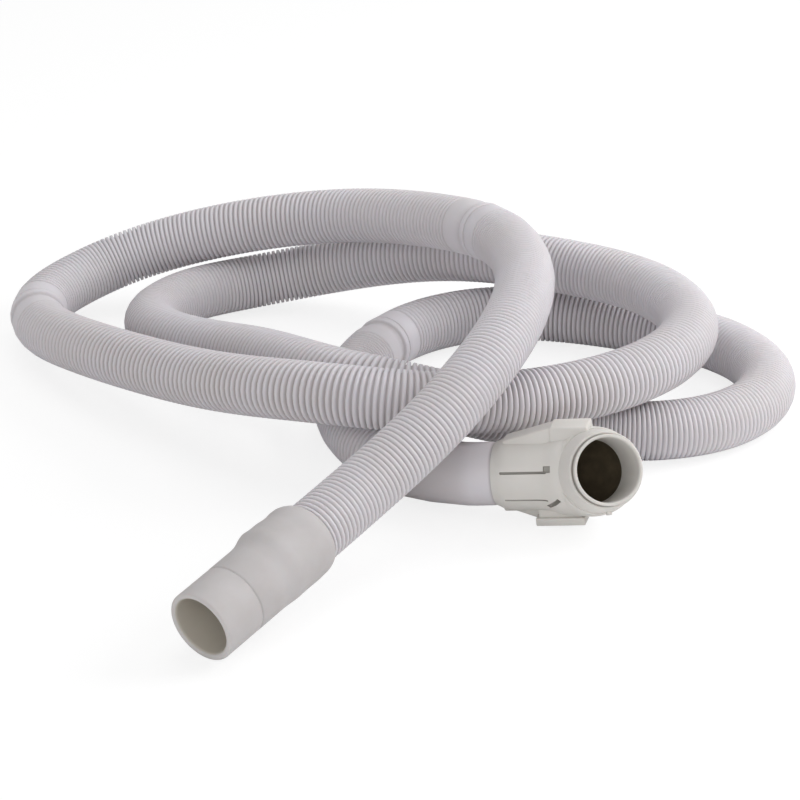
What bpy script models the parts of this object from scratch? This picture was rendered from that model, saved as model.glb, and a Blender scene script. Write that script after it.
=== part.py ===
"""Drain hose, loosely wound on a floor, with an outlet cuff and an inlet elbow.

All sizes are in metres. The origin is on the floor under the middle of the hose, and +Z is up.
The hose follows a smooth curve through ROUTE. The cuff and the elbow sit on its two ends, each
on the axis that the hose has there.
"""

from math import cos, pi, radians, sin

import bmesh
import bpy
import numpy as np
from mathutils import Matrix, Vector

# Clearance left between two pieces that touch.
SEAT_GAP = 0.0003

# Hose: the tube over its ribs.
HOSE_DIAMETER = 0.0245
HOSE_POINTS = 78
HOSE_BEVEL_RESOLUTION = 4
HOSE_STRAIGHT_END = 0.004

# Route of the hose's centre line, from the cuff's back to the elbow's socket.
# The hose climbs over its own turns, goes round three times and ends under them.
ROUTE = [
    (-0.030, -0.127, 0.0265),
    (-0.011, -0.103, 0.0335),
    (0.011, -0.082, 0.0460),
    (0.031, -0.059, 0.0595),
    (0.046, -0.027, 0.0680),
    (0.054, 0.024, 0.0700),
    (0.046, 0.075, 0.0680),
    (0.023, 0.113, 0.0620),
    (-0.020, 0.154, 0.0505),
    (-0.071, 0.169, 0.0395),
    (-0.115, 0.170, 0.0275),
    (-0.142, 0.160, 0.0190),
    (-0.158, 0.138, 0.0150),
    (-0.157, 0.111, 0.0150),
    (-0.134, 0.072, 0.0200),
    (-0.079, 0.009, 0.0315),
    (-0.037, -0.030, 0.0425),
    (0.003, -0.043, 0.0440),
    (0.042, -0.034, 0.0393),
    (0.079, -0.017, 0.0380),
    (0.109, 0.009, 0.0383),
    (0.125, 0.049, 0.0385),
    (0.112, 0.092, 0.0385),
    (0.077, 0.120, 0.0385),
    (0.028, 0.144, 0.0355),
    (-0.025, 0.167, 0.0215),
    (-0.067, 0.166, 0.0135),
    (-0.093, 0.152, 0.0124),
    (-0.107, 0.129, 0.0126),
    (-0.105, 0.103, 0.0150),
    (-0.085, 0.073, 0.0200),
    (-0.054, 0.034, 0.0305),
    (-0.023, -0.006, 0.0383),
    (0.005, -0.017, 0.0365),
    (0.039, -0.011, 0.0255),
    (0.080, -0.002, 0.0140),
    (0.107, -0.001, 0.0123),
    (0.135, 0.009, 0.0123),
    (0.155, 0.033, 0.0123),
    (0.158, 0.064, 0.0123),
    (0.142, 0.094, 0.0123),
    (0.108, 0.116, 0.0123),
    (0.053, 0.130, 0.0123),
    (0.008, 0.109, 0.0123),
    (-0.017, 0.057, 0.0123),
    (-0.018, 0.005, 0.0123),
    (0.005, -0.035, 0.0130),
    (0.031, -0.051, 0.0160),
    (0.041, -0.0535, 0.0174),
]

# The hose's direction where it leaves the cuff and where it enters the elbow.
CUFF_AXIS = Vector((0.600, 0.774, 0.202)).normalized()
ELBOW_AXIS = Vector((0.958, -0.250, 0.136)).normalized()

# Outlet cuff, measured from its mouth.
CUFF_LENGTH = 0.0619
CUFF_MOUTH_DIAMETER = 0.0278
CUFF_GRIP_DIAMETER = 0.0302
CUFF_BORE_DIAMETER = 0.0225
CUFF_RIM_CHAMFER = 0.0008
CUFF_GROOVE_FROM_MOUTH = 0.0178
CUFF_GROOVE_WIDTH = 0.0008
CUFF_GROOVE_DEPTH = 0.0003
CUFF_FLARE_FROM_MOUTH = 0.0330
CUFF_FLARE_LENGTH = 0.0062
CUFF_SHOULDER = 0.0022
TURNED_STEPS = 48

# Inlet elbow: the body lies on the hose's axis, the spigot stands out from its corner.
# The body widens from its socket and swells again towards the corner.
ELBOW_BODY_LENGTH = 0.0370
ELBOW_BODY_DIAMETER = 0.0292
ELBOW_BORE_DIAMETER = 0.0224
ELBOW_SOCKET_DIAMETER = 0.0252
ELBOW_CONE_LENGTH = 0.0050
ELBOW_SWELL_LENGTH = 0.0190
ELBOW_SWELL_STEP = 0.0005
ELBOW_HEEL_DIAMETER = 0.0358
BORE_OVERRUN = 0.0023

# Slits along the body, each with a pocket at its end, at angles from the top down both sides.
SLIT_ANGLES = (66.0, 113.0)
SLIT_WIDTH = 0.0010
SLIT_DEPTH = 0.0010
SLIT_FROM_SOCKET = 0.0030
SLIT_END_FROM_CORNER = 0.0180
POCKET_WIDTH = 0.0029
POCKET_LENGTH = 0.0039

# Lugs above and below the body, measured from the corner of the elbow and up from the body.
TOP_LUG_LENGTH = 0.0184
TOP_LUG_WIDTH = 0.0100
TOP_LUG_RISE = 0.0060
TOP_LUG_FROM_CORNER = 0.0076
PLATE_LENGTH = 0.0196
PLATE_WIDTH = 0.0150
PLATE_THICKNESS = 0.0032
PLATE_RISE = 0.0050
PLATE_FROM_CORNER = 0.0124
WEB_SETBACK = 0.0012

# Spigot, measured from the corner of the elbow.
SPIGOT_AXIS = Vector((0.250, -0.868, 0.428)).normalized()
SPIGOT_LENGTH = 0.0220
SPIGOT_BORE_DIAMETER = 0.0248
SPIGOT_RIM_DIAMETER = 0.0292
SPIGOT_RIM_CHAMFER = 0.0005
SPIGOT_RIM_WIDTH = 0.0014
SPIGOT_GROOVE_WIDTH = 0.0007
SPIGOT_GROOVE_DEPTH = 0.0006
COLLAR_LENGTH = 0.0099
COLLAR_END_DIAMETER = 0.0306
COLLAR_ROOT_DIAMETER = 0.0328
SHOULDER_DIAMETER = 0.0342
HEEL_STEPS = 12

GREY_HOSE = (0.58, 0.545, 0.55)
GREY_CUFF = (0.56, 0.53, 0.53)
GREY_ELBOW = (0.53, 0.51, 0.48)


def clear_scene():
    for obj in list(bpy.data.objects):
        bpy.data.objects.remove(obj, do_unlink=True)


def make_collection(name):
    collection = bpy.data.collections.new(name)
    bpy.context.scene.collection.children.link(collection)
    return collection


def make_material(name, color, roughness):
    material = bpy.data.materials.new(name)
    material.use_nodes = True
    shader = material.node_tree.nodes["Principled BSDF"]
    shader.inputs["Base Color"].default_value = (*color, 1.0)
    shader.inputs["Roughness"].default_value = roughness
    shader.inputs["Metallic"].default_value = 0.0
    material.diffuse_color = (*color, 1.0)
    return material


def place_along(obj, origin, axis, up=Vector((0.0, 0.0, 1.0))):
    """Turn the object's +Z to the axis, with its +X as near to up as it goes."""
    side = (up - axis * up.dot(axis)).normalized()
    turn = Matrix((side, axis.cross(side), axis)).transposed()
    obj.matrix_world = Matrix.Translation(origin) @ turn.to_4x4()


def turned(name, profile, collection, solid=False):
    """Turn a profile of (radius, height) points about +Z.

    A ring's profile is closed. A solid's is open and has both its ends on the axis.
    """
    mesh = bpy.data.meshes.new(name)
    count = len(profile)
    edges = [(i, i + 1) for i in range(count - 1)]
    if not solid:
        edges.append((count - 1, 0))
    mesh.from_pydata([(r, 0.0, z) for r, z in profile], edges, [])
    obj = bpy.data.objects.new(name, mesh)
    collection.objects.link(obj)
    screw = obj.modifiers.new("Turn", "SCREW")
    screw.axis = "Z"
    screw.angle = 2 * pi
    screw.steps = TURNED_STEPS
    screw.render_steps = TURNED_STEPS
    screw.use_merge_vertices = True
    screw.merge_threshold = 0.00001
    screw.use_smooth_shade = True
    return obj


def box(name, size, collection):
    mesh = bpy.data.meshes.new(name)
    shape = bmesh.new()
    bmesh.ops.create_cube(shape, size=1.0)
    bmesh.ops.scale(shape, vec=size, verts=shape.verts)
    shape.to_mesh(mesh)
    shape.free()
    obj = bpy.data.objects.new(name, mesh)
    collection.objects.link(obj)
    return obj


def rod(name, diameter, length, collection):
    """A round bar that starts at its origin and runs up +Z."""
    mesh = bpy.data.meshes.new(name)
    shape = bmesh.new()
    bmesh.ops.create_cone(
        shape,
        cap_ends=True,
        segments=TURNED_STEPS,
        radius1=diameter / 2,
        radius2=diameter / 2,
        depth=length,
    )
    bmesh.ops.translate(shape, vec=(0.0, 0.0, length / 2), verts=shape.verts)
    shape.to_mesh(mesh)
    shape.free()
    obj = bpy.data.objects.new(name, mesh)
    collection.objects.link(obj)
    return obj


def combine(target, tool, operation):
    modifier = target.modifiers.new(tool.name, "BOOLEAN")
    modifier.operation = operation
    modifier.solver = "EXACT"
    modifier.object = tool
    tool.hide_render = True
    tool.display_type = "WIRE"


def smooth_line(route, start_axis, end_axis, count):
    """Read evenly spaced points from the smooth curve through the route.

    The curve is a cubic spline that leaves along start_axis and arrives along end_axis.
    """
    points = np.array(route)
    chords = np.linalg.norm(np.diff(points, axis=0), axis=1)
    steps = np.sqrt(chords)
    rise = np.diff(points, axis=0) / steps[:, None]
    last = len(points) - 1
    system = np.zeros((last + 1, last + 1))
    wanted = np.zeros((last + 1, 3))
    system[0, 0] = system[last, last] = 1.0
    wanted[0] = np.array(start_axis) * chords[0] / steps[0]
    wanted[last] = np.array(end_axis) * chords[-1] / steps[-1]
    for i in range(1, last):
        system[i, i - 1] = steps[i]
        system[i, i] = 2 * (steps[i - 1] + steps[i])
        system[i, i + 1] = steps[i - 1]
        wanted[i] = 3 * (steps[i] * rise[i - 1] + steps[i - 1] * rise[i])
    slopes = np.linalg.solve(system, wanted)
    fine = []
    for i in range(last):
        t = np.linspace(0.0, 1.0, 60, endpoint=False)[:, None]
        fine.append(
            (2 * t**3 - 3 * t**2 + 1) * points[i]
            + (t**3 - 2 * t**2 + t) * steps[i] * slopes[i]
            + (3 * t**2 - 2 * t**3) * points[i + 1]
            + (t**3 - t**2) * steps[i] * slopes[i + 1]
        )
    fine = np.vstack([*fine, points[-1:]])
    travel = np.linalg.norm(np.diff(fine, axis=0), axis=1)
    run = np.concatenate([[0.0], np.cumsum(travel)])
    even = np.linspace(0.0, run[-1], count)
    return np.stack([np.interp(even, run, fine[:, k]) for k in range(3)], axis=1)


def make_hose(collection, material):
    curve = bpy.data.curves.new("corrugated_hose", "CURVE")
    curve.dimensions = "3D"
    curve.twist_mode = "MINIMUM"
    curve.bevel_depth = HOSE_DIAMETER / 2
    curve.bevel_resolution = HOSE_BEVEL_RESOLUTION
    curve.use_fill_caps = True
    line = [Vector(place) for place in smooth_line(ROUTE, CUFF_AXIS, ELBOW_AXIS, HOSE_POINTS)]
    line.insert(1, line[0] + CUFF_AXIS * HOSE_STRAIGHT_END)
    line.insert(-1, line[-1] - ELBOW_AXIS * HOSE_STRAIGHT_END)
    spline = curve.splines.new("POLY")
    spline.points.add(len(line) - 1)
    for point, place in zip(spline.points, line):
        point.co = (*place, 1.0)
    spline.use_smooth = True
    curve.materials.append(material)
    collection.objects.link(bpy.data.objects.new("corrugated_hose", curve))


def cuff_profile():
    mouth = CUFF_MOUTH_DIAMETER / 2
    grip = CUFF_GRIP_DIAMETER / 2
    bore = CUFF_BORE_DIAMETER / 2
    flare_end = CUFF_FLARE_FROM_MOUTH + CUFF_FLARE_LENGTH
    groove_end = CUFF_GROOVE_FROM_MOUTH + CUFF_GROOVE_WIDTH
    groove_middle = CUFF_GROOVE_FROM_MOUTH + CUFF_GROOVE_WIDTH / 2
    return [
        (bore, CUFF_LENGTH),
        (grip - CUFF_SHOULDER, CUFF_LENGTH),
        (grip - CUFF_SHOULDER * 0.3, CUFF_LENGTH - CUFF_SHOULDER * 0.3),
        (grip, CUFF_LENGTH - CUFF_SHOULDER),
        (grip, flare_end),
        (mouth, CUFF_FLARE_FROM_MOUTH),
        (mouth, groove_end),
        (mouth - CUFF_GROOVE_DEPTH, groove_middle),
        (mouth, CUFF_GROOVE_FROM_MOUTH),
        (mouth, CUFF_RIM_CHAMFER / 2),
        (mouth - CUFF_RIM_CHAMFER / 2, 0.0),
        (bore + CUFF_RIM_CHAMFER, 0.0),
        (bore, CUFF_RIM_CHAMFER),
    ]


def make_cuff(collection, material):
    """The cuff's back faces the start of the hose, and its mouth points away from it."""
    cuff = turned("outlet_cuff", cuff_profile(), collection)
    back = Vector(ROUTE[0]) - CUFF_AXIS * SEAT_GAP
    place_along(cuff, back - CUFF_AXIS * CUFF_LENGTH, CUFF_AXIS)
    cuff.data.materials.append(material)


def body_profile():
    """Cone at the socket, straight body and swelling towards the corner, as a solid bar."""
    body = ELBOW_BODY_DIAMETER / 2
    swell = ELBOW_HEEL_DIAMETER / 2 - ELBOW_SWELL_STEP
    return [
        (0.0, ELBOW_BODY_LENGTH),
        (swell, ELBOW_BODY_LENGTH),
        (body, ELBOW_BODY_LENGTH - ELBOW_SWELL_LENGTH),
        (body, ELBOW_CONE_LENGTH),
        (ELBOW_SOCKET_DIAMETER / 2, 0.0),
        (0.0, 0.0),
    ]


def half_ball(radius):
    """Points of the half ball behind the corner, from its widest ring to the axis."""
    turns = [radians(-90.0 * step / HEEL_STEPS) for step in range(1, HEEL_STEPS)]
    return [(radius * cos(turn), radius * sin(turn)) for turn in turns] + [(0.0, -radius)]


def spigot_profile():
    """Rim, groove, tapered collar, groove, shoulder and round heel, as a solid bar."""
    rim = SPIGOT_RIM_DIAMETER / 2
    heel = ELBOW_HEEL_DIAMETER / 2
    collar_root = COLLAR_ROOT_DIAMETER / 2
    rim_start = SPIGOT_LENGTH - SPIGOT_RIM_WIDTH
    collar_end = rim_start - SPIGOT_GROOVE_WIDTH
    collar_start = collar_end - COLLAR_LENGTH
    shoulder_end = collar_start - SPIGOT_GROOVE_WIDTH
    return [
        (0.0, SPIGOT_LENGTH),
        (rim - SPIGOT_RIM_CHAMFER, SPIGOT_LENGTH),
        (rim, SPIGOT_LENGTH - SPIGOT_RIM_CHAMFER),
        (rim, rim_start),
        (rim - SPIGOT_GROOVE_DEPTH, rim_start),
        (rim - SPIGOT_GROOVE_DEPTH, collar_end),
        (COLLAR_END_DIAMETER / 2, collar_end),
        (collar_root, collar_start),
        (collar_root - SPIGOT_GROOVE_DEPTH, collar_start),
        (collar_root - SPIGOT_GROOVE_DEPTH, shoulder_end),
        (SHOULDER_DIAMETER / 2, shoulder_end),
        (heel, 0.0),
        *half_ball(heel),
    ]


def bore_profile():
    """The spigot's bore with the round bend behind it, as a solid bar."""
    bore = SPIGOT_BORE_DIAMETER / 2
    top = SPIGOT_LENGTH + BORE_OVERRUN
    return [(0.0, top), (bore, top), (bore, 0.0), *half_ball(bore)]


def place_on_body(obj, angle, reach, from_corner):
    """Put an object on the elbow's body with its +X away from the body's axis.

    The angle is in degrees from the top, and reach is the distance from the axis.
    """
    corner = Vector(ROUTE[-1]) + ELBOW_AXIS * (SEAT_GAP + ELBOW_BODY_LENGTH)
    up = Vector((0.0, 0.0, 1.0))
    top = (up - ELBOW_AXIS * up.dot(ELBOW_AXIS)).normalized()
    out = Matrix.Rotation(radians(angle), 3, ELBOW_AXIS) @ top
    place_along(obj, corner - ELBOW_AXIS * from_corner + out * reach, ELBOW_AXIS, up=out)


def add_lugs(elbow, tools):
    """The top lug is a block, the bottom one a plate on a narrower web."""
    body = ELBOW_BODY_DIAMETER / 2
    core = body / 2
    top_height = body + TOP_LUG_RISE - core
    web_width = PLATE_WIDTH - 2 * WEB_SETBACK
    web_length = PLATE_LENGTH - 2 * WEB_SETBACK
    web_rise = PLATE_RISE - PLATE_THICKNESS / 2
    web_height = body + web_rise - core
    lugs = (
        ("top_lug", (top_height, TOP_LUG_WIDTH, TOP_LUG_LENGTH), 0.0, TOP_LUG_RISE, TOP_LUG_FROM_CORNER),
        ("plate", (PLATE_THICKNESS, PLATE_WIDTH, PLATE_LENGTH), 180.0, PLATE_RISE, PLATE_FROM_CORNER),
        ("web", (web_height, web_width, web_length), 180.0, web_rise, PLATE_FROM_CORNER),
    )
    for name, size, angle, rise, from_corner in lugs:
        lug = box(name, size, tools)
        place_on_body(lug, angle, body + rise - size[0] / 2, from_corner)
        combine(elbow, lug, "UNION")


def cut_slits(elbow, tools):
    """Slits down both sides of the body, each with a pocket above its end."""
    body = ELBOW_BODY_DIAMETER / 2
    length = ELBOW_BODY_LENGTH - SLIT_FROM_SOCKET - SLIT_END_FROM_CORNER
    for side in (1, -1):
        for angle in SLIT_ANGLES:
            slit = box("slit", (2 * SLIT_DEPTH, SLIT_WIDTH, length), tools)
            place_on_body(slit, side * angle, body, SLIT_END_FROM_CORNER + length / 2)
            combine(elbow, slit, "DIFFERENCE")
        pocket = box("pocket", (2 * SLIT_DEPTH, POCKET_WIDTH, POCKET_LENGTH), tools)
        raised = SLIT_ANGLES[0] - (POCKET_WIDTH - SLIT_WIDTH) / 2 / body * 180.0 / pi
        place_on_body(pocket, side * raised, body, SLIT_END_FROM_CORNER - POCKET_LENGTH / 4)
        combine(elbow, pocket, "DIFFERENCE")


def make_elbow(collection, tools, material):
    """The elbow is one moulding: a body, a round heel, a spigot and two lugs, bored out."""
    socket = Vector(ROUTE[-1]) + ELBOW_AXIS * SEAT_GAP
    corner = socket + ELBOW_AXIS * ELBOW_BODY_LENGTH
    elbow = turned("inlet_elbow", body_profile(), collection, solid=True)
    place_along(elbow, socket, ELBOW_AXIS)
    elbow.data.materials.append(material)

    spigot = turned("elbow_spigot", spigot_profile(), tools, solid=True)
    place_along(spigot, corner, SPIGOT_AXIS)
    combine(elbow, spigot, "UNION")
    add_lugs(elbow, tools)
    cut_slits(elbow, tools)

    bore = rod("body_bore", ELBOW_BORE_DIAMETER, ELBOW_BODY_LENGTH + BORE_OVERRUN, tools)
    place_along(bore, socket - ELBOW_AXIS * BORE_OVERRUN, ELBOW_AXIS)
    combine(elbow, bore, "DIFFERENCE")
    mouth = turned("spigot_bore", bore_profile(), tools, solid=True)
    place_along(mouth, corner, SPIGOT_AXIS)
    combine(elbow, mouth, "DIFFERENCE")


def main():
    clear_scene()
    parts = make_collection("drain_hose")
    tools = make_collection("drain_hose_tools")
    make_hose(parts, make_material("hose_plastic", GREY_HOSE, 0.45))
    make_cuff(parts, make_material("cuff_rubber", GREY_CUFF, 0.55))
    make_elbow(parts, tools, make_material("elbow_plastic", GREY_ELBOW, 0.45))


if __name__ == "__main__":
    main()
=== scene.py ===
"""Loosely wound drain hose with its outlet cuff and inlet elbow, dressed for rendering.

All sizes are in metres, in the frame of the loaded solids: the hose lies on z = 0.
"""

import logging
from collections.abc import Sequence
from dataclasses import dataclass, field
from enum import Enum
from math import cos, pi, radians, sin

import bmesh
import bpy
import numpy as np
from mathutils import Matrix, Vector


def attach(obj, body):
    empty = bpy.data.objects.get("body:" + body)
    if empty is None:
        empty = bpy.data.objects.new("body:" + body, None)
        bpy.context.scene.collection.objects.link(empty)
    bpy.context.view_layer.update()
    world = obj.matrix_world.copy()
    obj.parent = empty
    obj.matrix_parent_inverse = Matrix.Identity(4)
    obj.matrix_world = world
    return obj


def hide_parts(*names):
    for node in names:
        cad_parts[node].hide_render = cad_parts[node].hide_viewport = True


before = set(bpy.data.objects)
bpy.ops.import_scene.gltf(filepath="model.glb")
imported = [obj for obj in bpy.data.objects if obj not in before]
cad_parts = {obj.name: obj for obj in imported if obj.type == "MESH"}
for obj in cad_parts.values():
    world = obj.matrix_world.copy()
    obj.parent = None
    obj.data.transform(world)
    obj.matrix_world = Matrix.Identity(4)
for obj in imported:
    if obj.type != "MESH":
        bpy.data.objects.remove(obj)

LOG = logging.getLogger("drain_hose")
BODY = "root"
MILLIMETRE = 0.001

Color = tuple[float, float, float]
Point = tuple[float, float, float]
HoseRing = tuple[float, float, float, float]


class Blend(Enum):
    """How a solid tool is joined to the piece that it shapes."""

    ADD = "UNION"
    CUT = "DIFFERENCE"


# Modelling steps


@dataclass(frozen=True)
class Ring:
    """One ring of a turned shape.

    Attributes:
        radius: Distance from the axis.
        height: Place along the axis.
        shift: How far the ring's middle stands off the axis, to +X.
    """

    radius: float
    height: float
    shift: float = 0.0


class Bench:
    """Edit-mode steps that the pieces share.

    Attributes:
        SIDES: Number of sides of a turned shape.
    """

    SIDES = 96

    @staticmethod
    def deselect() -> None:
        """Leave no object selected."""
        if bpy.context.object and bpy.context.object.mode != "OBJECT":
            bpy.ops.object.mode_set(mode="OBJECT")
        bpy.ops.object.select_all(action="DESELECT")

    @classmethod
    def choose(cls, obj: bpy.types.Object) -> None:
        """Select one object alone and make it active.

        Args:
            obj: The object to work on.
        """
        cls.deselect()
        obj.select_set(True)
        bpy.context.view_layer.objects.active = obj

    @classmethod
    def turned(cls, name: str, rings: Sequence[Ring], closed: bool) -> bpy.types.Object:
        """Raise a round shape ring by ring from a circle on +Z.

        Args:
            name: Name of the new object.
            rings: The rings in order, from the first circle to the last.
            closed: True joins the last ring to the first, False caps both ends.

        Returns:
            The new object, at the origin.
        """
        cls.deselect()
        first = rings[0]
        bpy.ops.mesh.primitive_circle_add(vertices=cls.SIDES, radius=first.radius, fill_type="NOTHING")
        obj = bpy.context.active_object
        obj.name = name
        bpy.ops.object.mode_set(mode="EDIT")
        bpy.ops.mesh.select_mode(type="EDGE")
        bpy.ops.mesh.select_all(action="SELECT")
        bpy.ops.transform.translate(value=(first.shift, 0.0, first.height))
        for before, ring in zip(rings, rings[1:]):
            rise = (ring.shift - before.shift, 0.0, ring.height - before.height)
            bpy.ops.mesh.extrude_region_move(TRANSFORM_OT_translate={"value": rise})
            ratio = ring.radius / before.radius
            middle = (ring.shift, 0.0, ring.height)
            bpy.ops.transform.resize(value=(ratio, ratio, 1.0), center_override=middle)
        cls.close_loops(joined=closed)
        bpy.ops.mesh.select_all(action="SELECT")
        bpy.ops.mesh.normals_make_consistent(inside=False)
        bpy.ops.object.mode_set(mode="OBJECT")
        return obj

    @staticmethod
    def close_loops(joined: bool) -> None:
        """Close the two open loops of the mesh in edit mode.

        Args:
            joined: True bridges one loop to the other, False fills each with a face.
        """
        bpy.ops.mesh.select_all(action="DESELECT")
        bpy.ops.mesh.select_non_manifold(
            extend=False,
            use_wire=False,
            use_boundary=True,
            use_multi_face=False,
            use_non_contiguous=False,
            use_verts=False,
        )
        if joined:
            bpy.ops.mesh.bridge_edge_loops()
        else:
            bpy.ops.mesh.edge_face_add()

    @classmethod
    def block(cls, name: str, size: Point, edge: float, narrow: tuple[float, float]) -> bpy.types.Object:
        """Make a block with rounded edges, narrower at its +X side if asked.

        Args:
            name: Name of the new object.
            size: Its three lengths.
            edge: Radius of its rounded edges.
            narrow: Width and length of the +X face as a share of the -X face's.

        Returns:
            The new object, centred on the origin.
        """
        cls.deselect()
        bpy.ops.mesh.primitive_cube_add(size=1.0)
        obj = bpy.context.active_object
        obj.name = name
        bpy.ops.object.mode_set(mode="EDIT")
        bpy.ops.mesh.select_all(action="SELECT")
        bpy.ops.transform.resize(value=size, center_override=(0.0, 0.0, 0.0))
        if narrow != (1.0, 1.0):
            cls.pick_faces(obj, Vector((1.0, 0.0, 0.0)))
            middle = (size[0] / 2, 0.0, 0.0)
            bpy.ops.transform.resize(value=(1.0, *narrow), center_override=middle)
        bpy.ops.mesh.select_mode(type="EDGE")
        bpy.ops.mesh.select_all(action="SELECT")
        bpy.ops.mesh.bevel(offset=edge, segments=3, profile=0.5, affect="EDGES", clamp_overlap=True)
        bpy.ops.object.mode_set(mode="OBJECT")
        return obj

    @staticmethod
    def pick_faces(obj: bpy.types.Object, normal: Vector) -> None:
        """Select in edit mode the faces that point along a direction.

        Args:
            obj: The object being edited.
            normal: The direction that the faces point to.
        """
        bpy.ops.mesh.select_mode(type="FACE")
        bpy.ops.mesh.select_all(action="DESELECT")
        mesh = bmesh.from_edit_mesh(obj.data)
        for face in mesh.faces:
            face.select_set(face.normal.dot(normal) > 0.99)
        bmesh.update_edit_mesh(obj.data)

    @classmethod
    def settle(cls, obj: bpy.types.Object, place: Matrix) -> None:
        """Put an object in its place and apply the move to its mesh.

        Args:
            obj: The object to move.
            place: Its place in the frame.
        """
        cls.choose(obj)
        obj.matrix_world = place @ obj.matrix_world
        bpy.ops.object.transform_apply(location=True, rotation=True, scale=True)

    @classmethod
    def join(cls, target: bpy.types.Object, tool: bpy.types.Object, how: Blend) -> None:
        """Add a tool to a piece or cut it out, and remove the tool.

        Args:
            target: The piece that changes.
            tool: The solid that is added or cut out.
            how: Whether the tool is added or cut out.
        """
        modifier = target.modifiers.new(tool.name, "BOOLEAN")
        modifier.operation = how.value
        modifier.solver = "EXACT"
        modifier.material_mode = "TRANSFER"
        modifier.object = tool
        cls.choose(target)
        bpy.ops.object.modifier_apply(modifier=modifier.name)
        bpy.data.objects.remove(tool, do_unlink=True)

    @classmethod
    def smooth(cls, obj: bpy.types.Object, angle: float) -> None:
        """Shade a piece smooth where its faces meet at less than an angle.

        Args:
            obj: The piece.
            angle: The angle in degrees.
        """
        cls.choose(obj)
        bpy.ops.object.shade_smooth_by_angle(angle=radians(angle))
        cls.deselect()


def along(origin: Vector, axis: Vector, up: Vector = Vector((0.0, 0.0, 1.0))) -> Matrix:
    """Make the place whose +Z runs along an axis and whose +X is as near to up as it goes.

    Args:
        origin: The place's origin.
        axis: The direction of +Z.
        up: The direction that +X leans to.

    Returns:
        The place as a matrix.
    """
    side = (up - axis * up.dot(axis)).normalized()
    turn = Matrix((side, axis.cross(side), axis)).transposed()
    return Matrix.Translation(origin) @ turn.to_4x4()


# Finishes


@dataclass(frozen=True)
class Grain:
    """Fine surface of a finish.

    Attributes:
        rough_noise: Waves per metre and octaves of the roughness.
        rough: Lowest and highest roughness.
        bump_noise: Waves per metre and octaves of the bumps.
        bump: Strength of the bumps.
        depth: Height of the bumps.
        scatter: Share of light that scatters inside.
        specular: Strength of the reflections.
    """

    rough_noise: tuple[float, float]
    rough: tuple[float, float]
    bump_noise: tuple[float, float]
    bump: float
    depth: float
    scatter: float
    specular: float


@dataclass(frozen=True)
class Clouds:
    """Soft clouds of a second colour.

    Attributes:
        scale: Clouds per metre.
        detail: Octaves of finer noise.
        start: Noise value where the second colour starts.
        full: Noise value where it is full.
    """

    scale: float
    detail: float
    start: float
    full: float


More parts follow.
